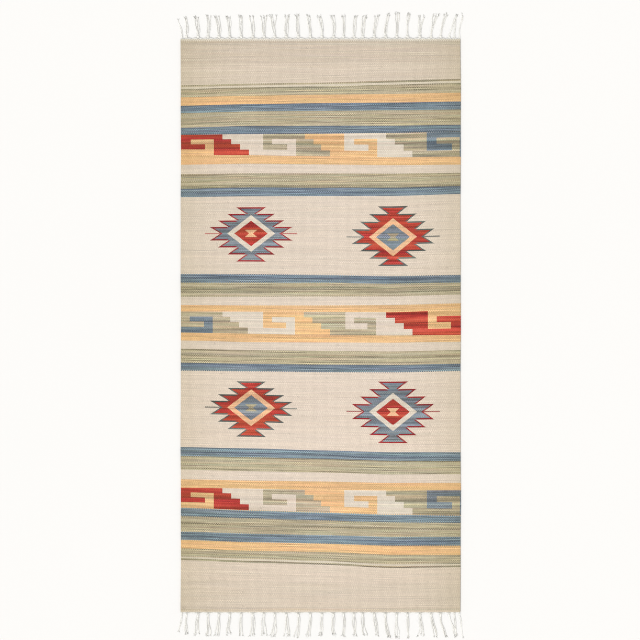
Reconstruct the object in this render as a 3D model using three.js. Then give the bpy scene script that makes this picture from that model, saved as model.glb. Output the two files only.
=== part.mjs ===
// A flat-woven cotton rug lying flat: one woven cloth with a knotted warp fringe along each end.
// Millimetres. X runs across the rug, Y along it, and Z is up from the surface it lies on.
import * as THREE from "three";

// The cloth
const clothWidth = 700;
const clothLength = 1434;
const clothThickness = 4;
const clothStations = 48; // sections along the length
const clothColumns = 14; // strips across one section
const edgeSteps = 4; // facets round a side edge

// Waves that take the side edges from straight and the top from level, each given by its size
// and by how often it turns along the rug and across it.
const edgeWaves = [
  { size: 0.36, along: 3, start: 1 },
  { size: 0.24, along: 7, start: 2 },
];
const surfaceWaves = [
  { size: 0.12, along: 3, across: 2, start: 0 },
  { size: 0.12, along: 5, across: -1, start: 1 },
];

// The fringe: warp ends gathered, knotted against the cloth and left to spread
const seamGap = 0.3; // between the cloth's end and the fringe
const headerDepth = 1.6; // of warp that shows between two tassels
const fanDepth = 2.6; // where the warps start to draw in to a knot
const fanHalfWidth = 6;
const knotDepth = 7; // how far out the knot ends
const knotHalfWidth = 2.8;
const fanShare = 0.9; // of the room to the next tassel that a fan may fill
const knotShare = 0.8; // and that a knot may fill

// Height of the fringe along it, outwards from the cloth
const fringeHeights = [
  { at: 0, height: 4 },
  { at: 7, height: 4.6 },
  { at: 21, height: 3.2 },
  { at: 65, height: 2 },
];

// One row for each tassel, from the left side to the right. at: where it is knotted, from the
// left side. lean: how far its tip lies to the right of its knot. spread: width over its tip.
const tassels = [
  { at: 3, lean: -8, spread: 4, length: 48 },
  { at: 14, lean: 0, spread: 7, length: 55 },
  { at: 43, lean: -4, spread: 14, length: 57 },
  { at: 68, lean: 1, spread: 12, length: 58 },
  { at: 95, lean: -4, spread: 14, length: 57 },
  { at: 122, lean: -4, spread: 11, length: 56 },
  { at: 151, lean: -1, spread: 11, length: 58 },
  { at: 180, lean: -1, spread: 13, length: 58 },
  { at: 208, lean: 0, spread: 15, length: 58 },
  { at: 235, lean: -4, spread: 14, length: 61 },
  { at: 264, lean: 2, spread: 14, length: 59 },
  { at: 294, lean: -3, spread: 11, length: 62 },
  { at: 324, lean: -4, spread: 10, length: 60 },
  { at: 353, lean: -4, spread: 9, length: 58 },
  { at: 382, lean: -1, spread: 10, length: 58 },
  { at: 407, lean: 0, spread: 8, length: 60 },
  { at: 433, lean: 4, spread: 11, length: 58 },
  { at: 455, lean: 4, spread: 13, length: 58 },
  { at: 484, lean: 6, spread: 12, length: 58 },
  { at: 512, lean: 7, spread: 9, length: 63 },
  { at: 540, lean: 2, spread: 12, length: 65 },
  { at: 567, lean: 2, spread: 6, length: 64 },
  { at: 598, lean: 3, spread: 13, length: 59 },
  { at: 626, lean: 12, spread: 11, length: 62 },
  { at: 650, lean: 12, spread: 6, length: 63 },
  { at: 671, lean: 17, spread: 5, length: 60 },
  { at: 684, lean: 4, spread: 4, length: 61 },
  { at: 697, lean: 8, spread: 4, length: 63 },
];

const rawCotton = { color: 0xf1ece0, roughness: 0.9, metalness: 0 };
const wovenCotton = { color: 0xddcbb2, roughness: 0.92, metalness: 0 };

// How far a side edge lies out from its straight line. side is -1 on the left and 1 on the right.
function edgeOffset(y, side) {
  const turn = (2 * Math.PI * y) / clothLength;
  const offset = (wave) => wave.size * Math.sin(wave.along * turn + side * wave.start);
  return edgeWaves.reduce((sum, wave) => sum + offset(wave), 0);
}

// Height of the top surface, a little uneven as handwoven cloth lies.
function topHeight(x, y) {
  const across = (2 * Math.PI * x) / clothWidth;
  const along = (2 * Math.PI * y) / clothLength;
  const rise = (wave) => wave.size * (Math.sin(wave.across * across + wave.along * along + wave.start) - 1);
  return surfaceWaves.reduce((height, wave) => height + rise(wave), clothThickness);
}

// One closed section of the cloth at y, counter-clockwise seen from -Y: along the underside
// from left to right, round the right edge, back over the top and round the left edge.
function clothSection(y) {
  const left = -clothWidth / 2 - edgeOffset(y, -1);
  const right = clothWidth / 2 + edgeOffset(y, 1);
  const radius = clothThickness / 2;
  const points = [];
  const columnX = (i) => left + radius + ((right - left - 2 * radius) * i) / clothColumns;
  for (let i = 0; i <= clothColumns; i++) {
    points.push(new THREE.Vector3(columnX(i), y, 0));
  }
  for (let i = 1; i < edgeSteps; i++) {
    const turn = (Math.PI * i) / edgeSteps;
    const z = radius - radius * Math.cos(turn);
    points.push(new THREE.Vector3(right - radius + radius * Math.sin(turn), y, z));
  }
  for (let i = clothColumns; i >= 0; i--) {
    points.push(new THREE.Vector3(columnX(i), y, topHeight(columnX(i), y)));
  }
  for (let i = edgeSteps - 1; i > 0; i--) {
    const turn = (Math.PI * i) / edgeSteps;
    const z = radius - radius * Math.cos(turn);
    points.push(new THREE.Vector3(left + radius - radius * Math.sin(turn), y, z));
  }
  return points;
}

// The cloth as one closed body: its sections joined side by side, with a flat wall at each end.
function clothGeometry() {
  const positions = [];
  const triangles = [];
  for (let station = 0; station <= clothStations; station++) {
    const y = clothLength * (station / clothStations - 0.5);
    clothSection(y).forEach((point) => positions.push(point.x, point.y, point.z));
  }
  const ringSize = positions.length / 3 / (clothStations + 1);
  for (let station = 0; station < clothStations; station++) {
    for (let i = 0; i < ringSize; i++) {
      const near = station * ringSize;
      const far = near + ringSize;
      const next = (i + 1) % ringSize;
      triangles.push(near + i, far + next, near + next);
      triangles.push(near + i, far + i, far + next);
    }
  }
  closeEnd(triangles, 0, ringSize, false);
  closeEnd(triangles, clothStations * ringSize, ringSize, true);
  return geometryOf(positions, triangles);
}

// Quads between the underside and the top of one end section, then a fan over each rounded edge.
function closeEnd(triangles, first, ringSize, facesForward) {
  const add = (a, b, c) => {
    const corners = facesForward ? [first + a, first + c, first + b] : [first + a, first + b, first + c];
    triangles.push(...corners);
  };
  const underRight = clothColumns;
  const topRight = clothColumns + edgeSteps;
  const topLeft = topRight + clothColumns;
  for (let i = 0; i < clothColumns; i++) {
    add(i, i + 1, topLeft - i);
    add(i + 1, topLeft - i - 1, topLeft - i);
  }
  for (let i = underRight + 1; i < topRight; i++) {
    add(underRight, i, i + 1);
  }
  for (let i = topLeft + 1; i < ringSize; i++) {
    add(0, i - 1, i);
  }
}

function geometryOf(positions, triangles) {
  const geometry = new THREE.BufferGeometry();
  geometry.setAttribute("position", new THREE.Float32BufferAttribute(positions, 3));
  geometry.setIndex(triangles);
  geometry.computeVertexNormals();
  return geometry;
}

// The comb's outline in its own plane: x across the rug, y outwards from the cloth's end.
function combOutline() {
  const half = clothWidth / 2;
  const outline = new THREE.Shape();
  outline.moveTo(half, 0);
  outline.lineTo(-half, 0);
  tassels.forEach((tassel, index) => {
    const knot = tassel.at - half;
    const tip = knot + tassel.lean;
    const leftRoom = index === 0 ? tassel.at : (tassel.at - tassels[index - 1].at) / 2;
    const last = index === tassels.length - 1;
    const rightRoom = last ? clothWidth - tassel.at : (tassels[index + 1].at - tassel.at) / 2;
    outline.lineTo(knot - leftRoom, headerDepth);
    outline.lineTo(knot - Math.min(fanHalfWidth, fanShare * leftRoom), fanDepth);
    outline.lineTo(knot - Math.min(knotHalfWidth, knotShare * leftRoom), knotDepth);
    outline.lineTo(tip - tassel.spread / 2, tassel.length);
    outline.lineTo(tip + tassel.spread / 2, tassel.length);
    outline.lineTo(knot + Math.min(knotHalfWidth, knotShare * rightRoom), knotDepth);
    outline.lineTo(knot + Math.min(fanHalfWidth, fanShare * rightRoom), fanDepth);
    if (last) outline.lineTo(half, headerDepth);
  });
  return outline;
}

// Height of the fringe this far out, between the rows of its table.
function fringeHeight(outwards) {
  const next = Math.max(1, fringeHeights.findIndex((row) => row.at >= outwards));
  const from = fringeHeights[next - 1];
  const to = fringeHeights[next];
  return THREE.MathUtils.mapLinear(outwards, from.at, to.at, from.height, to.height);
}

function combGeometry() {
  const extrusion = { depth: clothThickness, bevelEnabled: false };
  const geometry = new THREE.ExtrudeGeometry(combOutline(), extrusion);
  const position = geometry.getAttribute("position");
  for (let i = 0; i < position.count; i++) {
    if (position.getZ(i) > 0) position.setZ(i, fringeHeight(position.getY(i)));
  }
  geometry.computeVertexNormals();
  return geometry;
}

function piece(name, geometry, finish) {
  const mesh = new THREE.Mesh(geometry, new THREE.MeshStandardMaterial(finish));
  mesh.name = name;
  return mesh;
}

const rug = new THREE.Group();
rug.name = "rug";
rug.add(piece("rug_cloth", clothGeometry(), wovenCotton));

const headFringe = piece("fringe_head_end", combGeometry(), rawCotton);
headFringe.position.y = clothLength / 2 + seamGap;
rug.add(headFringe);

// The foot end is knotted as the head end is, mirrored along the rug.
const footFringe = piece("fringe_foot_end", combGeometry(), rawCotton);
footFringe.position.y = -clothLength / 2 - seamGap;
footFringe.scale.y = -1;
rug.add(footFringe);

export default rug;
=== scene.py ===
import math
import random

import bpy
import numpy as np
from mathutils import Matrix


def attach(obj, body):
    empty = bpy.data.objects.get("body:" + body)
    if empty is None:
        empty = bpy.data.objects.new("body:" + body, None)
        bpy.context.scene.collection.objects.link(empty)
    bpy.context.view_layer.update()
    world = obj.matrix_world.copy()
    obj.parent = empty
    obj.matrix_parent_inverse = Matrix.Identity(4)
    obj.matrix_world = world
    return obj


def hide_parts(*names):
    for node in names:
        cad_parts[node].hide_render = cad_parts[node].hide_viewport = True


# A flat-woven cotton rug lying flat, seen from straight above.
# Metres, in the frame of the CAD: X across the rug, Y along it to the head end, Z up.

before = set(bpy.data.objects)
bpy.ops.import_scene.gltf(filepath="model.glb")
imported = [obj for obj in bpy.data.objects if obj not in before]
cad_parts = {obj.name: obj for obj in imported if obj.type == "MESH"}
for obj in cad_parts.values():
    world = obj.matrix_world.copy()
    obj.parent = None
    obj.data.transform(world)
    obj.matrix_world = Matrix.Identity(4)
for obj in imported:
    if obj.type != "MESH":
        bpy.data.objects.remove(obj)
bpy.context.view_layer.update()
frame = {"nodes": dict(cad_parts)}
print("frame loaded:", ", ".join(frame["nodes"]))


# Helpers for node trees

def feed(tree, socket, value):
    if isinstance(value, Field):
        value = value.socket
    if isinstance(value, bpy.types.NodeSocket):
        tree.links.new(value, socket)
    else:
        socket.default_value = value


class Field:
    # One number in a node tree, so that node maths reads like ordinary sums.

    def __init__(self, tree, socket):
        self.tree = tree
        self.socket = socket

    def math(self, operation, *others):
        node = self.tree.nodes.new("ShaderNodeMath")
        node.operation = operation
        for socket, value in zip(node.inputs, (self, *others)):
            feed(self.tree, socket, value)
        return Field(self.tree, node.outputs[0])

    def __add__(self, other):
        return self.math("ADD", other)

    def __sub__(self, other):
        return self.math("SUBTRACT", other)

    def __mul__(self, other):
        return self.math("MULTIPLY", other)

    def __truediv__(self, other):
        return self.math("DIVIDE", other)

    def __mod__(self, other):
        return self.math("FLOORED_MODULO", other)

    def times(self, factor, plus):
        return self.math("MULTIPLY_ADD", factor, plus)

    def above(self, other):
        return self.math("GREATER_THAN", other)

    def below(self, other):
        return self.math("LESS_THAN", other)

    def least(self, other):
        return self.math("MINIMUM", other)

    def most(self, other):
        return self.math("MAXIMUM", other)

    def floor(self):
        return self.math("FLOOR")

    def size(self):
        return self.math("ABSOLUTE")

    def root(self):
        return self.math("SQRT")

    def sine(self):
        return self.math("SINE")

    def within(self, low, high):
        return self.most(low).least(high)


def addNode(tree, kind, inputs=None, **settings):
    node = tree.nodes.new(kind)
    for name, value in settings.items():
        setattr(node, name, value)
    for name, value in (inputs or {}).items():
        feed(tree, node.inputs[name], value)
    return node


def splitVector(tree, vector):
    parts = addNode(tree, "ShaderNodeSeparateXYZ", {"Vector": vector})
    return [Field(tree, socket) for socket in parts.outputs]


def joinVector(tree, x, y, z=0.0):
    return addNode(tree, "ShaderNodeCombineXYZ", {"X": x, "Y": y, "Z": z}).outputs[0]


def noise(tree, vector, detail=2.0, rough=0.5):
    inputs = {"Vector": vector, "Scale": 1.0, "Detail": detail, "Roughness": rough}
    return Field(tree, addNode(tree, "ShaderNodeTexNoise", inputs).outputs["Fac"])


def randomValue(tree, vector):
    node = addNode(tree, "ShaderNodeTexWhiteNoise", {"Vector": vector}, noise_dimensions="3D")
    return Field(tree, node.outputs["Value"])


def mixColour(tree, factor, first, second, blend="MIX"):
    node = addNode(tree, "ShaderNodeMix", data_type="RGBA", blend_type=blend, clamp_factor=True)
    # The node has sockets of the same name for every kind of value. These are the ones for colours.
    for index, value in ((0, factor), (6, first), (7, second)):
        feed(tree, node.inputs[index], value)
    return node.outputs[2]


def newMaterial(name, finish):
    material = bpy.data.materials.new(name)
    material.use_nodes = True
    shader = material.node_tree.nodes["Principled BSDF"]
    for label, value in finish.items():
        shader.inputs[label].default_value = value
    return material, material.node_tree, shader


def addInput(tree, name, kind, default=None):
    socket = tree.interface.new_socket(name, in_out="INPUT", socket_type="NodeSocket" + kind)
    if default is not None:
        socket.default_value = default
    return socket


def newGeometryTree(name, inputs):
    tree = bpy.data.node_groups.new(name, "GeometryNodeTree")
    addInput(tree, "Geometry", "Geometry")
    for label, value in inputs.items():
        addInput(tree, label, "Int" if isinstance(value, int) else "Float", value)
    tree.interface.new_socket("Geometry", in_out="OUTPUT", socket_type="NodeSocketGeometry")
    start = addNode(tree, "NodeGroupInput")
    return tree, start


def finishTree(tree, geometry, material):
    smooth = addNode(tree, "GeometryNodeSetShadeSmooth", {"Geometry": geometry})
    plain = addNode(tree, "GeometryNodeRealizeInstances", {"Geometry": smooth.outputs[0]})
    dressed = addNode(tree, "GeometryNodeSetMaterial", {"Geometry": plain.outputs[0], "Material": material})
    end = addNode(tree, "NodeGroupOutput")
    tree.links.new(dressed.outputs[0], end.inputs[0])


# Runs a tree on a source mesh and keeps the result as an object with a plain mesh.
def buildPiece(name, tree, source, values):
    piece = bpy.data.objects.new(name, source)
    bpy.context.scene.collection.objects.link(piece)
    modifier = piece.modifiers.new("build", "NODES")
    modifier.node_group = tree
    for item in tree.interface.items_tree:
        if item.in_out == "INPUT" and item.name in values:
            modifier[item.identifier] = values[item.name]
    graph = bpy.context.evaluated_depsgraph_get()
    mesh = bpy.data.meshes.new_from_object(piece.evaluated_get(graph))
    mesh.name = name
    piece.modifiers.remove(modifier)
    piece.data = mesh
    return piece


# Dyes, given as the photograph shows them (0 to 255) and taken back to what reflects them.
studio = {
    "lightOnCloth": 1.05,  # how much brighter the lit cloth looks than it reflects
    "lightOnYarn": 1.0,
    "palest": 0.95,  # no yarn reflects more
}


# From a picture's 0 to 255 to linear light.
def linear(value):
    share = value / 255
    return share / 12.92 if share <= 0.04045 else ((share + 0.055) / 1.055) ** 2.4


def dye(red, green, blue, light=None):
    light = light or studio["lightOnCloth"]
    reflected = [min(linear(value) / light, studio["palest"]) for value in (red, green, blue)]
    return (*reflected, 1.0)


# The cloth

cloth = {
    "width": 0.700,
    "length": 1.434,
    "thickness": 0.004,
    "warps": 255,
    "pickHeight": 0.0015,  # two picks make one row of beads
    "meshRows": 90,
    "ribDepth": 0.00042,  # of the groove between two warps
    "edgeRadius": 0.002,
    "endSteps": (0.0006, 0.0014),  # first two rows of the mesh in from an end
    "edgeWaves": ((0.00036, 3, 1), (0.00024, 7, 2)),  # size, turns along, start
    "surfaceWaves": ((0.00012, 3, 2, 0), (0.00012, 5, -1, 1)),  # size, turns along and across, start
    "joinDistance": 0.00001,  # closer than this, rim points of the two faces become one
}
warpPitch = cloth["width"] / cloth["warps"]
beadHeight = 2 * cloth["pickHeight"]

yarns = {
    "heading": dye(233, 225, 212),
    "sandWorn": dye(211, 198, 180),
    "sand": dye(212, 197, 179),
    "sandPale": dye(218, 203, 185),
    "sandSoft": dye(224, 208, 190),
    "thinTan": dye(205, 191, 171),
    "thinDark": dye(163, 152, 127),
    "straw": dye(223, 211, 191),
    "cream": dye(225, 210, 194),
    "creamLight": dye(229, 213, 197),
    "white": dye(226, 214, 198),
    "ochre": dye(232, 189, 138),
    "ochreLight": dye(238, 189, 148),
    "green": dye(183, 171, 144),
    "greenDark": dye(168, 158, 131),
    "greenLight": dye(195, 184, 155),
    "blue": dye(118, 132, 144),
    "blueDark": dye(106, 118, 133),
    "blueLight": dye(131, 148, 157),
    "blueWorn": dye(128, 137, 146),
    "red": dye(184, 65, 50),
    "redDark": dye(158, 42, 46),
    "olive": dye(98, 103, 98),
}


# A table whose rows are read by the names of its columns.
def namedRows(columns, rows):
    return [dict(zip(columns, row)) for row in rows]


# One row for each stripe from the head end down, in millimetres. lines are rows of beads in a darker
# or lighter yarn, and how far down the stripe each starts. drift is how far the stripe's lower edge
# has sunk at the left edge, a quarter across, three quarters across and the right edge.
stripes = namedRows(("yarn", "width", "lines", "drift"), (
    ("heading", 3, (), (0, 0, 0, 0)),
    ("sandWorn", 10.5, ((3.5, "thinTan"),), (0, 0, 0, 0)),
    ("sand", 45, (), (3, 1, -2, -4)),
    ("sandPale", 51, (), (7, 2, -6, -11)),
    ("straw", 8.5, ((0, "thinDark"), (1.5, "thinDark")), (7, 2.5, -4, -8)),
    ("green", 21, ((0, "greenDark"), (6, "greenDark"), (10.5, "greenDark"), (15, "greenLight")),
     (6, 2.5, -2, -5)),
    ("ochre", 21.75, (), (7, 3, -1, -4)),
    ("blue", 19.5, ((0, "blueDark"), (7.5, "blueDark"), (16.5, "blueLight")), (5.5, 1, -2, -3.5)),
    ("green", 36.25, ((3, "greenLight"), (18, "greenDark"), (24, "greenDark"), (31.5, "greenLight")),
     (5, 0, 0, -1)),
    ("blue", 21, ((0, "blueDark"), (4.5, "blueLight"), (10.5, "blueDark"), (19.5, "blueDark")),
     (3, 1, -2, -7)),
    ("ochre", 56.25, (), (-4, -3, 3, 2)),
    ("ochre", 20, (), (2, -2, 2.5, 1)),
    ("cream", 22, (), (2, 0, 0.5, -2)),
    ("green", 36.5, ((3, "greenDark"), (7.5, "greenDark"), (18, "greenDark"), (22.5, "greenLight"),
     (28.5, "greenDark"), (33, "greenDark")), (3, -1, 0, -4)),
    ("blue", 20.25, ((0, "blueDark"), (6, "blueLight"), (10.5, "blueDark"), (15, "blueLight")),
     (3, 1, 0, -5)),
    ("cream", 196.75, (), (-3, -2, 3, 0)),
    ("blue", 20.25, ((6, "blueDark"), (12, "blueLight"), (18, "blueLight")), (0, 0, 2.5, 0)),
    ("green", 33.75, ((1.5, "greenDark"), (6, "greenLight"), (9, "greenDark"), (15, "greenDark"),
     (21, "greenDark"), (25.5, "greenLight")), (1, 1, 0, -5)),
    ("cream", 22.5, (), (-1.5, 0, -2, -5)),
    ("ochre", 17.75, (), (-1, -1, 1, -6)),
    ("ochre", 57.75, (), (-8, -5, 0.5, -0.5)),
    ("ochre", 17.5, (), (-4, -0.5, 0.5, -2)),
    ("cream", 21, (), (-5, -2, 2, -2)),
    ("green", 33.75, ((0, "greenDark"), (6, "greenLight"), (12, "greenDark"), (18, "greenLight"),
     (25.5, "greenDark")), (-5, -2, 1, -2)),
    ("blue", 19, ((1.5, "blueDark"), (7.5, "blueDark"), (15, "blueLight")), (-3.5, -2, 0.5, -3)),
    ("creamLight", 194.75, (), (-9, -5.5, 4.5, 4.5)),
    ("blue", 21.5, ((3, "blueLight"), (7.5, "blueLight"), (10.5, "blueDark"), (16.5, "blueLight")),
     (-7, -4, 5.5, 6)),
    ("greenLight", 34, ((0, "greenDark"), (10.5, "green"), (16.5, "greenDark"), (22.5, "green"),
     (30, "greenDark")), (-8, -3, 5.5, 4)),
    ("creamLight", 22.5, (), (-5, -1.5, 4, 4)),
    ("ochre", 23.25, (), (-5.5, -3.5, 1, 0.5)),
    ("ochre", 55.25, (), (-13, -5, 6, 8)),
    ("blueLight", 20.25, ((3, "blue"), (12, "blue"), (16.5, "blue")), (-10.5, -5, 5, 7)),
    ("green", 37, ((9, "greenLight"), (15, "greenDark"), (21, "greenLight"), (28.5, "greenDark")),
     (-9, -3.5, 4, 4)),
    ("blueLight", 20.5, ((3, "blue"), (9, "blueDark"), (13.5, "blue")), (-10, -3.5, 5, 5)),
    ("ochre", 20.75, (), (-8, -3.5, 7, 7.5)),
    ("green", 22.5, ((4.5, "greenLight"), (12, "greenDark"), (15, "greenLight"), (19.5, "greenDark")),
     (-11, -5, 8.5, 7)),
    ("straw", 9.75, ((4.5, "thinDark"), (6, "thinDark")), (-12, -5, 9.5, 7)),
    ("sandSoft", 45, (), (-8, -3, 5, 4)),
    ("sandPale", 60, (), (-1, 0, 1, 1)),
    ("sand", 12, ((5, "thinTan"),), (0, 0, 0, 0)),
    ("heading", 3, (), (0, 0, 0, 0)),
))
driftStations = 5  # evenly across the rug, and the middle one never drifts: the chart is measured there

# The hook bands: hooks in a row, each in four steps of the band's height. Millimetres from a hook's
# start: every step fills from there to its nib, and from the bar to its edge. stripe is the index of
# the stripe that a band lies in, and a turned band starts at the right and at its foot.
hooks = {
    "grounds": ("ochre", "cream", "ochre", "green", "green"),
    "upright": {
        "starts": (0, 205, 409, 616),
        "bar": 82,
        "steps": (0.235, 0.475, 0.735),  # shares of the band's height where a step gives way to the next
        "nibs": (105, 24, 61, 0),
        "edges": (104.5, 126, 147.5, 169),
    },
    "turned": {
        "starts": (4, 210, 415, 620),
        "bar": 79.5,
        "steps": (0.265, 0.525, 0.765),
        "nibs": (117, 22, 57.5, 0),
        "edges": (117.3, 138.3, 160.3, 182),
    },
    "bands": (
        {"stripe": 10, "way": "upright", "colours": ("red", "green", "white", "blue")},
        {"stripe": 20, "way": "turned", "colours": ("red", "green", "white", "blue")},
        {"stripe": 30, "way": "upright", "colours": ("red", "green", "white", "blueWorn")},
    ),
}

# The serrated diamonds, two in each cream field. Millimetres, from the left edge and the head end.
diamonds = {
    "left": 176.1,
    "right": 530.9,
    "fieldsMeet": 710,
    "middle": (487.0, 494.5, 926.0, 930.5),  # of the two upper ones and the two lower ones
    "riseUp": (66.5, 76.0, 67.0, 74.5),  # from the middle to the upper tip of each
    "riseDown": (71.5, 71.0, 74.0, 76.5),
    "teeth": 4,
    "innerHalf": (76, 56.5, 34.5, 12.5, -99),  # half width where a row of teeth starts, from the middle
    "outerHalf": (103.5, 83, 59.5, 37.5, -99),  # and at its tips. The last leaves nothing past the end.
    "outline": 3.6,
    "outlineSlant": 1.4,  # how much wider the outline is sideways
    "border": (59.8, 46.8),  # half width and half height of the plain diamond inside
    "heart": (42.2, 32.5),
    "hourglass": {"waist": 5.0, "end": 15.3, "half": 9.3},
    "whisker": {"from": 77, "to": 116, "half": 1.6, "cover": 0.75},
    "colours": (  # outline, body, border, heart and hourglass of the two kinds
        ("redDark", "blueWorn", "white", "red", "ochreLight"),
        ("olive", "red", "ochreLight", "blueWorn", "greenDark"),
    ),
}

clothInputs = {
    "Width": cloth["width"],
    "Length": cloth["length"],
    "Thickness": cloth["thickness"],
    "Warps": cloth["warps"],
    "Mesh Rows": cloth["meshRows"],
    "Rib Depth": cloth["ribDepth"],
    "Edge Radius": cloth["edgeRadius"],
}


# The cloth as two ribbed faces joined round the rim.
def clothTree(material):
    tree, start = newGeometryTree("wovenSheet", clothInputs)
    width, length, thickness, warps, rows, ribDepth, radius = [
        Field(tree, start.outputs[label]) for label in clothInputs
    ]
    sizes = {"Size X": width, "Size Y": length, "Vertices X": warps * 2 + 1, "Vertices Y": rows}
    x, y, _ = splitVector(tree, addNode(tree, "GeometryNodeInputPosition").outputs[0])

    # Rows of the mesh crowd together at the two ends, where the cloth rounds off.
    step = (rows - 1) / 2
    fromMiddle = (y / length * (rows - 1)).size()
    fromEnd = step - fromMiddle
    firstStep, secondStep = cloth["endSteps"]
    regular = (length * 0.5 - firstStep - secondStep) / (step - 2)
    inset = fromEnd.within(0, 1) * firstStep + (fromEnd - 1).within(0, 1) * secondStep
    inset = inset + (fromEnd - 2).most(0) * regular
    rowY = y.math("SIGN") * (length * 0.5 - inset)

    roundSide = ((width * 0.5 - x.size()) / radius).within(0, 1)
    roundEnd = (inset / radius).within(0, 1)
    near = roundSide.least(roundEnd)
    fullness = (near * 2 - near * near).most(0).root()  # 0 at the rim and 1 where the cloth is full
    column = ((x / width + 0.5) * (warps * 2)).math("ROUND")
    groove = (column % 2 * -1 + 1) * ribDepth * fullness

    turnAlong = rowY / length * (2 * math.pi)
    turnAcross = x / width * (2 * math.pi)
    side = x / width * 2
    wander = side * 0
    for size, along, phase in cloth["edgeWaves"]:
        wander = wander + (turnAlong * along + side.math("SIGN") * phase).sine() * size
    rowX = x + wander * side
    rise = side * 0
    for size, along, across, phase in cloth["surfaceWaves"]:
        rise = rise + ((turnAlong * along + turnAcross * across + phase).sine() - 1) * size
    half = thickness * 0.5 * fullness
    topZ = thickness * 0.5 + half - groove + rise * fullness
    underZ = thickness * 0.5 - half + groove

    chart = joinVector(tree, x, rowY)
    sheets = []
    for height, turned in ((topZ, False), (underZ, True)):
        grid = addNode(tree, "GeometryNodeMeshGrid", sizes).outputs["Mesh"]
        if turned:
            grid = addNode(tree, "GeometryNodeFlipFaces", {"Mesh": grid}).outputs[0]
        for label, place in (
            ("weave", chart),
            ("OFBake", joinVector(tree, x / width + 0.5, rowY / length + 0.5)),
        ):
            store = addNode(tree, "GeometryNodeStoreNamedAttribute", data_type="FLOAT2", domain="CORNER")
            feed(tree, store.inputs["Geometry"], grid)
            feed(tree, store.inputs["Name"], label)
            feed(tree, store.inputs["Value"], place)
            grid = store.outputs[0]
        shaped = addNode(tree, "GeometryNodeSetPosition", {
            "Geometry": grid, "Position": joinVector(tree, rowX, rowY, height),
        })
        sheets.append(shaped.outputs[0])
    joined = addNode(tree, "GeometryNodeJoinGeometry")
    for sheet in sheets:
        tree.links.new(sheet, joined.inputs[0])
    closed = addNode(tree, "GeometryNodeMergeByDistance", {
        "Geometry": joined.outputs[0], "Distance": cloth["joinDistance"],
    })
    finishTree(tree, closed.outputs[0], material)
    return tree


# Where each edge of the stripes lies on the chart, in metres from the head end.
def stripeEdges():
    widths = [stripe["width"] / 1000 for stripe in stripes]
    scale = cloth["length"] / sum(widths)
    return np.concatenate(([0.0], np.cumsum(widths) * scale))


# Takes a place on the cloth back to the chart, before the wefts were beaten out of line.
def straighten(x, y):
    edges = stripeEdges()
    drift = np.zeros((len(edges), driftStations))
    for row, stripe in enumerate(stripes):
        left, nearLeft, nearRight, right = stripe["drift"]
        drift[row + 1] = left, nearLeft, 0, nearRight, right
    drift /= 1000
    across = x / cloth["width"] + 0.5
    down = cloth["length"] / 2 - y
    lastStation = driftStations - 1
    station = np.clip(across * lastStation, 0, lastStation - 0.0001)  # so that one follows the last too
    first = station.astype(int)
    share = station - first
    share = share * share * (3 - 2 * share) * 0.5 + share * 0.5  # half eased and half straight
    points = np.arange(len(x))
    charted = down.copy()
    for _ in range(3):  # the drift is read at the charted place, so it is found in a few steps
        columns = np.array([np.interp(charted, edges, drift[:, index]) for index in range(driftStations)])
        sunk = columns[first, points] * (1 - share) + columns[first + 1, points] * share
        charted = down - sunk
    return cloth["length"] / 2 - charted


def bendPattern(mesh):
    layer = mesh.uv_layers["weave"]
    flat = np.empty(len(mesh.loops) * 2, dtype=np.float32)
    layer.uv.foreach_get("vector", flat)
    places = flat.reshape(-1, 2).astype(float)
    places[:, 1] = straighten(places[:, 0], places[:, 1])
    layer.uv.foreach_set("vector", places.astype(np.float32).ravel())


# The yarn of every pick, from the head end to the foot end.
def pickYarns():
    count = round(cloth["length"] / cloth["pickHeight"])
    picks = ["sand"] * count
    top = 0.0
    scale = cloth["length"] / sum(stripe["width"] for stripe in stripes)
    for stripe in stripes:
        parts = [(0, stripe["width"], stripe["yarn"])]
        parts += [(at, at + beadHeight * 1000, yarn) for at, yarn in stripe["lines"]]
        for start, end, yarn in parts:
            first = round((top + start * scale) / cloth["pickHeight"])
            last = round((top + end * scale) / cloth["pickHeight"])
            for pick in range(first, min(max(last, first + 1), count)):
                picks[pick] = yarn
        top += stripe["width"] * scale
    return picks


# A ramp that changes colour in steps: each stop is a place from 0 to 1 and the yarn from there on.
def steppedRamp(tree, place, stops):
    node = addNode(tree, "ShaderNodeValToRGB")
    node.color_ramp.interpolation = "CONSTANT"
    feed(tree, node.inputs[0], place)
    elements = node.color_ramp.elements
    elements.remove(elements[1])
    for index, (at, yarn) in enumerate(stops):
        element = elements.new(at) if index else elements[0]
        element.position = at
        element.color = yarns[yarn]
    return node.outputs[0]


# Colour of the stripes at a pick. One ramp holds at most 255 picks and 32 changes of yarn.
def stripeColour(tree, pick):
    mostPicks = 255
    mostStops = 32
    picks = pickYarns()
    ramps = []
    for index, yarn in enumerate(picks):
        changed = index == 0 or yarn != picks[index - 1]
        full = not ramps or index - ramps[-1]["first"] >= mostPicks
        if full or (changed and len(ramps[-1]["stops"]) >= mostStops):
            ramps.append({"first": index, "stops": [(0.0, yarn)]})
        elif changed:
            at = (index - ramps[-1]["first"] - 0.5) / mostPicks
            ramps[-1]["stops"].append((at, yarn))
    colour = None
    for chart in ramps:
        start = chart["first"] - 0.5
        ramp = steppedRamp(tree, (pick - start) / mostPicks, chart["stops"])
        colour = ramp if colour is None else mixColour(tree, pick.above(start), colour, ramp)
    return colour


def listedColour(tree, index, names):
    stops = [(place / len(names), name) for place, name in enumerate(names)]
    return steppedRamp(tree, (index + 0.5) / len(names), stops)


# The number for a step out of a short list, by the step's index.
def listedValue(index, values):
    total = index * 0 + values[0]
    for place in range(1, len(values)):
        total = index.above(place - 0.5).times(values[place] - values[place - 1], total)
    return total


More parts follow.
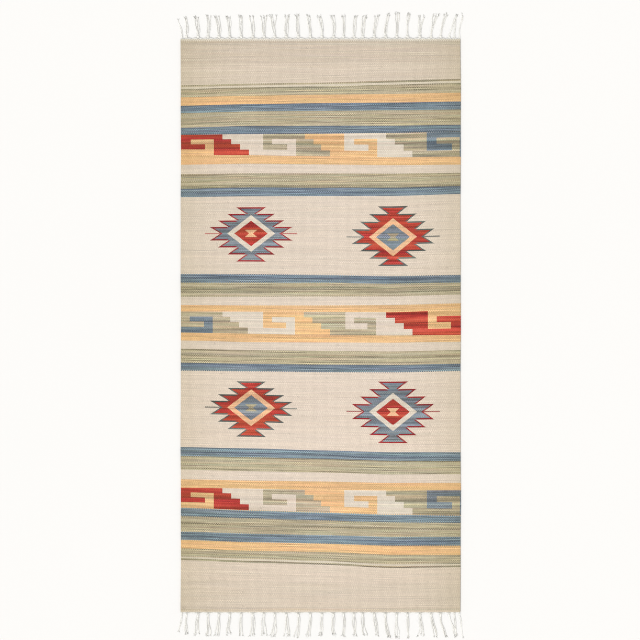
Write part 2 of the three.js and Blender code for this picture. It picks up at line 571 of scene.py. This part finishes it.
# One hook band laid over the colour so far, and whether a place is in the band.
def hookBand(tree, across, down, band, colour):
    shape = hooks[band["way"]]
    edges = stripeEdges() * 1000
    top, bottom = edges[band["stripe"]], edges[band["stripe"] + 1]
    inBand = down.above(top) * down.below(bottom)
    if band["way"] == "turned":
        along = across * -1 + cloth["width"] * 1000
        depth = down * -1 + bottom
    else:
        along = across
        depth = down - top
    step = across * 0
    for share in shape["steps"]:
        step = step + depth.above(share * (bottom - top))
    unit = across * 0
    for start in shape["starts"][1:]:
        unit = unit + along.above(start)
    place = (along - listedValue(unit, shape["starts"])).most(0)
    edge = listedValue(step, shape["edges"])
    nib = listedValue(step, shape["nibs"])
    inHook = place.below(edge) * (place.below(nib) + place.above(shape["bar"])).least(1)
    ground = listedColour(tree, unit + place.above(edge), hooks["grounds"])
    hook = listedColour(tree, unit, band["colours"])
    pattern = mixColour(tree, inHook, ground, hook)
    return mixColour(tree, inBand, colour, pattern), inBand


# The four diamonds laid over the colour so far, and whether a place is in one.
def serratedDiamonds(tree, across, down, colour):
    right = across.above(cloth["width"] * 500)
    lower = down.above(diamonds["fieldsMeet"])
    which = right + lower * 2
    kind = (right - lower).size()
    centreX = right * (diamonds["right"] - diamonds["left"]) + diamonds["left"]
    dx = (across - centreX).size()
    below = down - listedValue(which, diamonds["middle"])
    isBelow = below.above(0)
    riseUp = listedValue(which, diamonds["riseUp"])
    riseDown = listedValue(which, diamonds["riseDown"])
    toothHeight = (riseUp + (riseDown - riseUp) * isBelow) / diamonds["teeth"]
    dy = below.size()

    # How far the toothed outline reaches to the side at this height.
    def reach(height):
        teeth = height / toothHeight
        row = teeth.floor()
        inner = listedValue(row, diamonds["innerHalf"])
        outer = listedValue(row, diamonds["outerHalf"])
        return inner + (outer - inner) * (teeth - row)

    outline = diamonds["outline"]
    slanted = outline * diamonds["outlineSlant"]
    inStar = dx.below(reach(dy))
    inBody = (dx + slanted).below(reach(dy)) * dx.below(reach(dy + outline))
    inBorder, inHeart = [
        (dx / halfWidth + dy / halfHeight).below(1)
        for halfWidth, halfHeight in (diamonds["border"], diamonds["heart"])
    ]
    glass = diamonds["hourglass"]
    slope = (glass["end"] - glass["waist"]) / glass["half"]
    inGlass = dx.below(dy * slope + glass["waist"]) * dy.below(glass["half"])
    hair = diamonds["whisker"]
    inHair = dy.below(hair["half"]) * dx.above(hair["from"]) * dx.below(hair["to"])
    parts = (inStar.most(inHair * hair["cover"]), inBody, inBorder, inHeart, inGlass)
    first, second = diamonds["colours"]
    for inside, one, other in zip(parts, first, second):
        part = mixColour(tree, kind, yarns[one], yarns[other])
        colour = mixColour(tree, inside, colour, part)
    return colour, inStar


# Soft unevenness: how many patches a metre there are across and down the rug, or how much of a patch
# goes to each row of beads, and a seed that sets one kind apart from another.
unevenness = {
    "turns": {"across": 9, "down": 55, "seed": 3.1},
    "streak": {"across": 9, "perRow": 1.7, "seed": 8.4},
    "broad": {"across": 4, "down": 120, "seed": 17.0},
    "abrash": {"across": 2.2, "down": 14, "seed": 5.5},
    "lot": {"across": 3, "down": 70, "seed": 25.0},
    "warm": {"across": 4.5, "perRow": 0.9, "seed": 14.0},
    "fresh": {"across": 4.5, "perRow": 0.9, "seed": 21.0},
}

# How much each of them counts. A dye's strength is how far it is from raw cotton.
weft = {
    "rawCotton": 0.52,  # brightness from which a yarn counts as undyed
    "fullStrength": 0.28,
    "undyedDepth": 0.19,  # contrast of the lines in undyed yarn
    "dyedDepth": 14,  # what the square of a dye's strength adds
    "motifDepth": 0.7,  # and the share more that a motif has
    "mostDepth": 1.24,
    "turns": 2.3,
    "streak": 1.4,
    "broad": 0.6,
    "wholeRow": 0.36,
    "motifCalm": 0.6,  # share of the turns and streaks that a motif lacks
    "motifBroad": 1.1,  # broad streaks that it has besides
    "range": (-0.4, 0.5),  # of the lines, darkest and lightest
    "pair": 2.4,
    "swap": 5.3,  # picks after which the two shades of a pair change places
    "single": 0.18,
    "grain": 0.18,
    "grainSize": (0.0014, 0.0012),
    "fineUndyed": 0.44,
    "fineDyed": 1.6,
    "abrash": 0.06,
    "lotRed": 5.5,  # how soon a dye counts as red
    "lotTone": 0.3,
    "speckFrom": 0.9975,  # of the random values from 0 to 1
    "speck": 0.14,
    "wornWidth": 0.08,
    "wornDark": 0.14,
    "wornYellow": 0.08,
    "hueUndyed": 0.06,
    "hueDyed": 1.8,
    "mostHue": 0.34,
    "hueMotif": 0.08,
    "paleBloom": 0.05,
    # how much painted shade darkens the colour where beads and ribs meet
    "paintedCreviceShade": 0.5,
    "beadRelief": {"Strength": 0.85, "Distance": 0.00055},
    "slant": 0.07,
    "fibre": 0.16,
    "streakRelief": 0.10,
    "fibres": (1600, 5200),  # a metre, across and along
    "finish": {"Sheen Weight": 0.12, "Sheen Roughness": 0.6, "Specular IOR Level": 0.2},
}


def weaveMaterial():
    material, tree, shader = newMaterial("kilimWeave", weft["finish"])
    place = addNode(tree, "ShaderNodeUVMap", uv_map="weave").outputs[0]
    x, y, _ = splitVector(tree, place)
    u = x + cloth["width"] / 2
    v = y * -1 + cloth["length"] / 2

    # Each bead is one weft passing over one warp, and neighbouring warps are half a bead apart.
    warpAt = u / warpPitch
    warp = warpAt.floor().within(0, cloth["warps"] - 1)
    odd = warp % 2
    beadAt = v / beadHeight + odd * 0.5
    bead = beadAt.floor()
    pick = bead * 2 - odd
    beadRow = (pick / 2).floor()
    across = (warp + 0.5) * (warpPitch * 1000)
    down = v * 1000

    def uneven(name):
        patch = unevenness[name]
        along = beadRow * patch["perRow"] if "perRow" in patch else v * patch["down"]
        return noise(tree, joinVector(tree, u * patch["across"], along, patch["seed"])) - 0.5

    # Beaten down hard, a stripe's edge is toothed by less than half a bead, and a motif's is level.
    colour = stripeColour(tree, (pick - 1 + v / cloth["pickHeight"]) * 0.5)
    patterned = v * 0
    for band in hooks["bands"]:
        colour, inBand = hookBand(tree, across, down, band, colour)
        patterned = patterned + inBand
    colour, inStar = serratedDiamonds(tree, across, down, colour)
    patterned = patterned + inStar

    # Strong dyes are the uneven ones, so a yarn's contrast grows with how far it is from raw cotton.
    lightness = Field(tree, addNode(tree, "ShaderNodeRGBToBW", {"Color": colour}).outputs[0])
    channels = addNode(tree, "ShaderNodeSeparateColor", {"Color": colour}).outputs
    redness, greenness, blueness = [Field(tree, socket) for socket in channels]
    strength = ((lightness + blueness) * -0.5 + weft["rawCotton"]).within(0, weft["fullStrength"])
    depth = strength * strength * weft["dyedDepth"] + weft["undyedDepth"]
    depth = (depth * (patterned * weft["motifDepth"] + 1)).least(weft["mostDepth"])
    # Rows of beads go lighter and darker in turn, more here and less there, and streaks cross them.
    rows = (beadRow % 2 * 2 - 1) * uneven("turns")
    streak = uneven("streak")
    wholeRow = randomValue(tree, joinVector(tree, 5.0, beadRow, 7.0)) - 0.5
    # A motif is woven back and forth by hand, so its streaks are wider and softer.
    plain = patterned * -weft["motifCalm"] + 1
    lines = (rows * weft["turns"] + streak * weft["streak"]) * plain
    lines = lines + uneven("broad") * (patterned * weft["motifBroad"] + weft["broad"])
    lines = lines + wholeRow * weft["wholeRow"]
    variation = (lines * depth).within(*weft["range"])
    # Two shades are thrown in turn, so neighbouring warps differ, and now and then they swap.
    thrown = (pick + (pick / weft["swap"]).floor()) % 2 - 0.5
    pair = thrown * (strength * strength * weft["pair"]) * plain
    single = randomValue(tree, joinVector(tree, warp, pick, 2.0)) - 0.5
    grainWidth, grainHeight = weft["grainSize"]
    grainPlace = joinVector(tree, (u / grainWidth).floor(), (v / grainHeight).floor(), 4.0)
    grain = randomValue(tree, grainPlace) - 0.5
    fine = single * weft["single"] + grain * weft["grain"]
    fine = fine * (strength * weft["fineDyed"] + weft["fineUndyed"])
    # A motif's red was dyed in several lots, so it turns from crimson to orange and back.
    lot = uneven("lot")
    lotDepth = ((redness - greenness * 2) * weft["lotRed"]).most(0) * patterned
    tone = variation + pair + fine + uneven("abrash") * weft["abrash"]
    tone = tone + lot * lotDepth * weft["lotTone"] + 1
    speckPlace = joinVector(tree, (warp / 2).floor(), beadRow, 11.0)
    tone = tone - randomValue(tree, speckPlace).above(weft["speckFrom"]) * weft["speck"]

    # The cloth darkens and yellows a little towards its selvedges, from handling.
    fromSide = x.size() * -1 + cloth["width"] / 2
    worn = (fromSide / -weft["wornWidth"]).math("EXPONENT")
    tone = tone * (worn * -weft["wornDark"] + 1)
    yellowed = worn * -weft["wornYellow"] + 1

    # The shape of one bead, and painted shade that darkens the colour where two beads or two ribs meet.
    inWarp = (warpAt - warp - 0.5) * 2
    inBead = (beadAt - bead - 0.5) * 2
    crown = (inWarp * inWarp * -1 + 1).most(0).root()
    cushion = inBead.size().math("POWER", 2.6) * -1 + 1
    height = crown * cushion
    # Painted shade: the colour is darkened towards each bead's borders, where beads and ribs meet.
    tone = tone * (height.least(0.5) * weft["paintedCreviceShade"] + (1 - weft["paintedCreviceShade"] / 2))

    # Yarns also stray to the warm side or the fresh side of their dye.
    hueDepth = (strength * weft["hueDyed"] + weft["hueUndyed"]).least(weft["mostHue"])
    hueDepth = hueDepth + patterned * weft["hueMotif"]
    warm = uneven("warm") * hueDepth
    fresh = uneven("fresh") * hueDepth + lot * lotDepth
    tint = joinVector(tree, tone * (warm + 1), tone * (fresh + 1), tone * (warm * -1 + 1) * yellowed)
    colour = mixColour(tree, 1.0, colour, tint, "MULTIPLY")
    pale = (tone - 1).within(0, 1) * weft["paleBloom"]
    colour = mixColour(tree, 1.0, colour, joinVector(tree, pale, pale, pale), "ADD")
    feed(tree, shader.inputs["Base Color"], colour)

    # Spun yarn: fine slanting lines over each bead and loose fibre.
    slant = ((inWarp * 2.4 + inBead * 1.9) * math.pi + single * 2).sine()
    fibresAcross, fibresAlong = weft["fibres"]
    fibre = noise(tree, joinVector(tree, x * fibresAcross, y * fibresAlong, 1.7), 3.0, 0.6)
    relief = height + slant * weft["slant"] + fibre * weft["fibre"] + streak * weft["streakRelief"]
    bump = addNode(tree, "ShaderNodeBump", {**weft["beadRelief"], "Height": relief})
    feed(tree, shader.inputs["Normal"], bump.outputs[0])
    feed(tree, shader.inputs["Roughness"], fibre * 0.12 + 0.84)
    return material


weave = weaveMaterial()
emptyMesh = bpy.data.meshes.new("kilimSource")
kilim = buildPiece("kilimCloth", clothTree(weave), emptyMesh, clothInputs)
bendPattern(kilim.data)
print("cloth woven:", len(kilim.data.polygons), "faces")


# The fringe

fringe = {
    "yarnRadius": 0.00056,
    "plyFlatness": 0.66,  # two plies make the yarn wider one way than the other
    "twistLength": 0.0085,  # one full turn of the plies
    "yarnSpacing": 0.00115,  # between the rings of a yarn's mesh
    "yarnSides": 6,
    "insideCloth": 0.002,  # how far the warps are modelled into the cloth
    "clothMiddle": 0.0020,  # their height where they leave it
    "usualWarps": 10,  # in a tassel whose knot has just the sizes given here
    "knotStart": 0.0034,
    "knotEnd": 0.0078,
    "knotHalf": 0.0028,
    "knotHeight": 0.0026,
    "wraps": 5,
    "wrapTurns": 1.35,  # a wrap goes round once and a bit
    "wrapFrom": 200,  # degrees, where its hidden end lies
    "wrapPoints": 18,
    "wrapSpacing": 1.25,  # yarn radii
    "wrapSlant": 0.0016,
    "wrapHalfHeight": 0.0017,
    "knotLean": 0.25,
    "thickness": (0.92, 1.1),  # of single yarns, from thin to thick
    "raggedness": 0.007,  # how much shorter than the tassel a yarn may be
    "drawnIn": 0.45,  # share of the way to the knot that a warp has gone at the first bend
    "sway": 0.0018,
    "groupSway": 0.0016,
    "groupHook": 0.0016,
    "groupRipple": 0.0007,
    "ownCurl": 0.0007,
    "groupSpread": 1.25,  # of a tassel's width, that its groups take
    "yarnSpread": 0.32,  # and the yarns within a group
    "waist": 0.7,  # of the knot's width, that a tassel has below it
    "layerHeight": 0.0011,
    "stations": (0.18, 0.34, 0.5, 0.66, 0.82, 0.93, 1.0),  # of a yarn, from knot to tip
    "tipTaper": 0.82,
    "frayed": 5,  # loose fibres at each yarn's tip
    "frayLength": 0.0062,
    "frayRadius": 0.00013,
    "frayFan": 0.55,
    "frayOverlap": 0.0012,  # how far back from the tip it starts
    "fraySpacing": 0.0016,
    "fraySides": 3,
    "seeds": {"head": 11, "foot": 29},
}

# One row for each tassel from the left, in millimetres: where it is knotted, how far its tip lies
# to the right, the width over its tip, and its length.
tassels = namedRows(("at", "lean", "spread", "length"), (
    (3, -8, 4, 48),
    (14, 0, 7, 55),
    (43, -4, 14, 57),
    (68, 1, 12, 58),
    (95, -4, 14, 57),
    (122, -4, 11, 56),
    (151, -1, 11, 58),
    (180, -1, 13, 58),
    (208, 0, 15, 58),
    (235, -4, 14, 61),
    (264, 2, 14, 59),
    (294, -3, 11, 62),
    (324, -4, 10, 60),
    (353, -4, 9, 58),
    (382, -1, 10, 58),
    (407, 0, 8, 60),
    (433, 4, 11, 58),
    (455, 4, 13, 58),
    (484, 6, 12, 58),
    (512, 7, 9, 63),
    (540, 2, 12, 65),
    (567, 2, 6, 64),
    (598, 3, 13, 59),
    (626, 12, 11, 62),
    (650, 12, 6, 63),
    (671, 17, 5, 60),
    (684, 4, 4, 61),
    (697, 8, 4, 63),
))

yarnInputs = {
    "Radius": fringe["yarnRadius"],
    "Flatness": fringe["plyFlatness"],
    "Twist Length": fringe["twistLength"],
    "Spacing": fringe["yarnSpacing"],
    "Sides": fringe["yarnSides"],
}


# A tube along every chain of edges of the source mesh, with a twisted section.
def yarnTree(material):
    tree, start = newGeometryTree("twistedYarn", yarnInputs)
    radius, flatness, twistLength, spacing, sides = [
        Field(tree, start.outputs[label]) for label in yarnInputs
    ]
    curves = addNode(tree, "GeometryNodeMeshToCurve", {"Mesh": start.outputs["Geometry"]}).outputs[0]
    smooth = addNode(tree, "GeometryNodeCurveSplineType", {"Curve": curves}, spline_type="CATMULL_ROM")
    even = addNode(tree, "GeometryNodeResampleCurve", {
        "Curve": smooth.outputs[0], "Length": spacing,
    }, mode="LENGTH")
    thickness = addNode(tree, "GeometryNodeInputNamedAttribute", {"Name": "thickness"}, data_type="FLOAT")
    length = Field(tree, addNode(tree, "GeometryNodeSplineParameter").outputs["Length"])
    twisted = addNode(tree, "GeometryNodeSetCurveTilt", {
        "Curve": even.outputs[0],
        "Tilt": length / twistLength * (2 * math.pi),
    })
    ring = addNode(tree, "GeometryNodeCurvePrimitiveCircle", {"Resolution": sides, "Radius": 1.0})
    section = addNode(tree, "GeometryNodeTransform", {
        "Geometry": ring.outputs[0],
        "Scale": joinVector(tree, 1.0, flatness, 1.0),
    })
    tube = addNode(tree, "GeometryNodeCurveToMesh", {
        "Curve": twisted.outputs[0],
        "Profile Curve": section.outputs[0],
        "Scale": Field(tree, thickness.outputs["Attribute"]) * radius,
        "Fill Caps": True,
    })
    finishTree(tree, tube.outputs[0], material)
    return tree


cotton = {
    "darkest": dye(238, 235, 228, studio["lightOnYarn"]),
    "palest": dye(252, 250, 246, studio["lightOnYarn"]),
    "yarnShare": 0.6,  # of the shade that is a yarn's own, the rest being patches
    "patches": (130, 60, 130),  # a metre, in x, y and z
    "fibres": (5200, 1700, 5200),
    "finish": {"Sheen Weight": 0.2, "Sheen Roughness": 0.55, "Specular IOR Level": 0.25},
}


def rawCottonMaterial():
    material, tree, shader = newMaterial("rawCottonYarn", cotton["finish"])
    axes = splitVector(tree, addNode(tree, "ShaderNodeTexCoord").outputs["Object"])
    patchPlace, fibrePlace = [
        joinVector(tree, *[axis * count for axis, count in zip(axes, cotton[label])])
        for label in ("patches", "fibres")
    ]
    patches = noise(tree, patchPlace, 3.0)
    fibre = noise(tree, fibrePlace, 3.0, 0.6)
    shade = addNode(tree, "ShaderNodeAttribute", attribute_name="shade", attribute_type="GEOMETRY")
    mixed = Field(tree, shade.outputs["Fac"]) * cotton["yarnShare"] + patches * (1 - cotton["yarnShare"])
    colour = mixColour(tree, mixed, cotton["darkest"], cotton["palest"])
    tone = fibre * 0.10 + 0.95
    colour = mixColour(tree, 1.0, colour, joinVector(tree, tone, tone, tone), "MULTIPLY")
    feed(tree, shader.inputs["Base Color"], colour)
    bump = addNode(tree, "ShaderNodeBump", {"Strength": 0.7, "Distance": 0.00018, "Height": fibre})
    feed(tree, shader.inputs["Normal"], bump.outputs[0])
    feed(tree, shader.inputs["Roughness"], fibre * 0.14 + 0.8)
    return material


class Guides:
    # Open chains of points, each point with the yarn's relative thickness and a shade.

    def __init__(self, endSign):
        self.endSign = endSign
        self.points = []
        self.edges = []
        self.thickness = []
        self.shade = []

    # A path is a list of (across, outwards, height, thickness) in metres.
    def addPath(self, path, shade):
        first = len(self.points)
        for across, outwards, height, thickness in path:
            self.points.append((across, self.endSign * (cloth["length"] / 2 + outwards), height))
            self.thickness.append(thickness)
            self.shade.append(shade)
        self.edges += [(index, index + 1) for index in range(first, len(self.points) - 1)]

    def toMesh(self, name):
        mesh = bpy.data.meshes.new(name)
        mesh.from_pydata(self.points, self.edges, [])
        for label, values in (("thickness", self.thickness), ("shade", self.shade)):
            attribute = mesh.attributes.new(label, "FLOAT", "POINT")
            attribute.data.foreach_set("value", values)
        return mesh


# The warps that a tassel gathers lie nearer to it than to the next one.
def warpsOf(index):
    at = tassels[index]["at"]
    left = 0 if index == 0 else (tassels[index - 1]["at"] + at) / 2
    last = index == len(tassels) - 1
    right = cloth["width"] * 1000 if last else (at + tassels[index + 1]["at"]) / 2
    centres = [(warp + 0.5) * warpPitch for warp in range(cloth["warps"])]
    return [centre - cloth["width"] / 2 for centre in centres if left <= centre * 1000 < right]


# What the yarns of one tassel share: its places and widths, and how it and its groups sway.
def planTassel(index, chance):
    tassel = tassels[index]
    warps = warpsOf(index)
    knotX = tassel["at"] / 1000 - cloth["width"] / 2
    fullness = math.sqrt(len(warps) / fringe["usualWarps"])
    groups = range(3 if len(warps) > 5 else 2)
    sway, groupSway, groupHook = fringe["sway"], fringe["groupSway"], fringe["groupHook"]
    return {
        "warps": warps,
        "knotX": knotX,
        "tipX": knotX + tassel["lean"] / 1000,
        "length": tassel["length"] / 1000,
        "fullness": fullness,
        "knotHalf": fringe["knotHalf"] * fullness,
        "knotMiddle": (fringe["knotStart"] + fringe["knotEnd"]) / 2,
        "tipHalf": tassel["spread"] / 2000 - fringe["yarnRadius"],
        "groupCount": len(groups),
        "sway": chance.uniform(-sway, sway),
        "groupSway": [chance.uniform(-groupSway, groupSway) for _ in groups],
        "groupWave": [chance.uniform(0, 6.28) for _ in groups],
        "groupHook": [chance.uniform(-groupHook, groupHook) for _ in groups],
    }


# One warp from inside the cloth, through the knot and out to its tip, and its shade.
def warpPath(plan, number, chance):
    warpX = plan["warps"][number]
    knotX, knotHalf, groupCount = plan["knotX"], plan["knotHalf"], plan["groupCount"]
    share = (number + 0.5) / len(plan["warps"]) * 2 - 1  # -1 on the tassel's left and 1 on its right
    group = min(groupCount - 1, int((share + 1) / 2 * groupCount))
    groupShare = (group + 0.5) / groupCount * 2 - 1
    inGroup = share - groupShare
    layer = 1 if abs(inGroup) < 0.16 else 0  # the middle yarn of a group lies over the others
    thickness = chance.uniform(*fringe["thickness"])
    shade = chance.random()
    own = chance.uniform(-fringe["ownCurl"], fringe["ownCurl"])
    reachEnd = plan["length"] - chance.uniform(0, fringe["raggedness"])

    atCloth, atKnot = fringe["clothMiddle"], fringe["knotHeight"]
    pull = knotX + share * knotHalf * 0.55  # where it enters the knot
    bendX = warpX + (pull - warpX) * fringe["drawnIn"]
    bendOut = 0.0010 + min(abs(warpX - knotX), 0.014) * 0.07 + chance.uniform(0, 0.0003)
    path = [
        (warpX, -fringe["insideCloth"], atCloth, thickness),
        (warpX, 0.0004, atCloth, thickness),
        (bendX, bendOut, atCloth + 0.0002 * layer, thickness),
        (pull, fringe["knotStart"], atKnot - 0.0004 + 0.0006 * layer, thickness),
        (knotX + share * knotHalf * 0.5, plan["knotMiddle"], atKnot, thickness),
        (knotX + share * knotHalf * 0.6, fringe["knotEnd"] + 0.001, atKnot - 0.0004, thickness),
    ]
    gathered = groupShare * fringe["groupSpread"] + inGroup * fringe["yarnSpread"]
    narrow = knotHalf * fringe["waist"]
    for step in fringe["stations"]:
        outwards = fringe["knotEnd"] + (reachEnd - fringe["knotEnd"]) * step
        half = narrow + (plan["tipHalf"] - narrow) * step ** 0.75
        bend = math.sin(math.pi * step) * plan["sway"]
        bend += math.sin(math.pi * step * 1.7) * plan["groupSway"][group]
        ripple = math.sin(9.5 * step + plan["groupWave"][group]) * fringe["groupRipple"] * step
        curl = math.sin(5.2 * step + number * 1.7) * own
        curl += ripple + plan["groupHook"][group] * step ** 6
        across = knotX + (plan["tipX"] - knotX) * step ** 1.15 + gathered * half + bend + curl
        lift = (1 - step) * 0.0010 + layer * fringe["layerHeight"] * (1 - 0.5 * step)
        taper = fringe["tipTaper"] if step == 1.0 else 1.0
        path.append((across, outwards, fringe["yarnRadius"] * 1.05 + lift, thickness * taper))
    return path, shade


# One loose fibre that goes on from a yarn's tip and sinks to the floor.
def frayPath(path, chance):
    tip, before = path[-1], path[-2]
    radius = fringe["yarnRadius"]
    slope = (tip[0] - before[0]) / (tip[1] - before[1])
    fan = slope + chance.uniform(-fringe["frayFan"], fringe["frayFan"])
    reach = fringe["frayLength"] * chance.uniform(0.55, 1.0)
    start = tip[1] - fringe["frayOverlap"]
    side = chance.uniform(-0.5, 0.5) * radius
    low = chance.uniform(0.5, 1.3) * radius
    foot = tip[0] + side
    return [
        (foot, start, low, 1.2),
        (foot + fan * reach * 0.3, start + reach * 0.4, low * 0.9, 1.0),
        (foot + fan * reach * 0.75, start + reach * 0.75, low * 0.6, 0.8),
        (foot + fan * reach * 1.2, start + reach, fringe["frayRadius"] * 1.2, 0.5),
    ]


# One wrap of the knot: a yarn carried once and a bit round the bundle.
def wrapPath(plan, offset, lean):
    halfHeight = fringe["wrapHalfHeight"] * plan["fullness"]
    centreZ = halfHeight + fringe["yarnRadius"] * 1.1
    path = []
    for step in range(fringe["wrapPoints"] + 1):
        share = step / fringe["wrapPoints"]
        angle = math.radians(fringe["wrapFrom"]) + share * fringe["wrapTurns"] * 2 * math.pi
        across = math.cos(angle) * plan["knotHalf"]
        outwards = plan["knotMiddle"] + offset + (share - 0.5) * fringe["wrapSlant"] + across * lean
        path.append((plan["knotX"] + across, outwards, centreZ + math.sin(angle) * halfHeight, 1.0))
    return path


def layTassel(index, guides, chance):
    plan = planTassel(index, chance)
    for number in range(len(plan["warps"])):
        path, shade = warpPath(plan, number, chance)
        guides["Yarns"].addPath(path, shade)
        for _ in range(fringe["frayed"]):
            guides["Frays"].addPath(frayPath(path, chance), shade)
    wraps = max(3, round(fringe["wraps"] * plan["fullness"]))
    lean = chance.uniform(-fringe["knotLean"], fringe["knotLean"])
    for number in range(wraps):
        offset = (number - (wraps - 1) / 2) * fringe["yarnRadius"] * fringe["wrapSpacing"]
        guides["Knots"].addPath(wrapPath(plan, offset, lean), chance.random())


def layFringe(end, endSign):
    chance = random.Random(fringe["seeds"][end])
    guides = {label: Guides(endSign) for label in ("Yarns", "Knots", "Frays")}
    for index in range(len(tassels)):
        layTassel(index, guides, chance)
    frayInputs = {
        **yarnInputs,
        "Radius": fringe["frayRadius"],
        "Flatness": 1.0,
        "Spacing": fringe["fraySpacing"],
        "Sides": fringe["fraySides"],
    }
    made = []
    for label, paths in guides.items():
        name = end + "Fringe" + label
        values = frayInputs if label == "Frays" else yarnInputs
        made.append(buildPiece(name, twistedYarn, paths.toMesh(name + "Guides"), values))
        print(name, "laid:", len(made[-1].data.polygons), "faces")
    return made


rawCotton = rawCottonMaterial()
twistedYarn = yarnTree(rawCotton)
headPieces = layFringe("head", 1)
footPieces = layFringe("foot", -1)


# The room: a pale floor, soft even light with a slight rake, and a camera straight above

room = {
    "floorSize": 40.0,
    "floorDrop": 0.0002,
    "floorColour": 0.80,
    "floorClouds": 0.012,
    "floorWarmth": (1.0, 0.995, 0.985),
    "floorFinish": {"Roughness": 0.9, "Specular IOR Level": 0.1},
    "sky": 0.82,
    "skyColour": (1.0, 0.995, 0.985, 1.0),
    "sun": 1.79,
    "sunColour": (1.0, 0.985, 0.96),
    "sunAngle": 38,  # degrees, how wide the lamp is
    "sunTilt": (36, -28),
    "pixelBlur": 1.0,  # pixels, less than usual so that single beads can be told apart
    "cameraAt": (-0.0017, 0.014, 4.0),
    "across": 1.6,  # of the floor, that the picture shows
}


def floorMaterial():
    material, tree, shader = newMaterial("studioFloor", room["floorFinish"])
    place = addNode(tree, "ShaderNodeTexCoord").outputs["Object"]
    x, y, _ = splitVector(tree, place)
    cloudy = noise(tree, joinVector(tree, x * 1.3, y * 1.3, 0.4), 3.0)
    tone = cloudy * room["floorClouds"] + room["floorColour"]
    red, green, blue = [tone * share for share in room["floorWarmth"]]
    feed(tree, shader.inputs["Base Color"], joinVector(tree, red, green, blue))
    return material


def layFloor():
    half = room["floorSize"] / 2
    low = -room["floorDrop"]
    mesh = bpy.data.meshes.new("studioFloor")
    corners = [(-half, -half, low), (half, -half, low), (half, half, low), (-half, half, low)]
    mesh.from_pydata(corners, [], [(0, 1, 2, 3)])
    mesh.materials.append(floorMaterial())
    floor = bpy.data.objects.new("studioFloor", mesh)
    bpy.context.scene.collection.objects.link(floor)
    return floor


def lightRoom():
    scene = bpy.context.scene
    world = bpy.data.worlds.new("studioSky")
    world.use_nodes = True
    background = world.node_tree.nodes["Background"]
    background.inputs["Color"].default_value = room["skyColour"]
    background.inputs["Strength"].default_value = room["sky"]
    scene.world = world
    lamp = bpy.data.lights.new("softKey", "SUN")
    lamp.energy = room["sun"]
    lamp.angle = math.radians(room["sunAngle"])
    lamp.color = room["sunColour"]
    key = bpy.data.objects.new("softKey", lamp)
    tiltX, tiltY = room["sunTilt"]
    key.rotation_euler = (math.radians(tiltX), math.radians(tiltY), 0)
    scene.collection.objects.link(key)
    scene.view_settings.view_transform = "Standard"
    scene.cycles.filter_width = room["pixelBlur"]
    scene.cycles.denoising_prefilter = "NONE"  # else the weave is taken for noise and smoothed away


def placeCamera():
    data = bpy.data.cameras.new("overhead")
    height = room["cameraAt"][2]
    data.sensor_width = 36
    data.lens = data.sensor_width * (height - cloth["thickness"]) / room["across"]
    data.clip_end = 50
    camera = bpy.data.objects.new("overhead", data)
    camera.location = room["cameraAt"]
    bpy.context.scene.collection.objects.link(camera)
    bpy.context.scene.camera = camera


floor = layFloor()
lightRoom()
placeCamera()
print("room set")


# What the pieces stand for

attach(kilim, "root")
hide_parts("rug_cloth")
for pieces, node in ((headPieces, "fringe_head_end"), (footPieces, "fringe_foot_end")):
    for piece in pieces:
        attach(piece, "root")
        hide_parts(node)
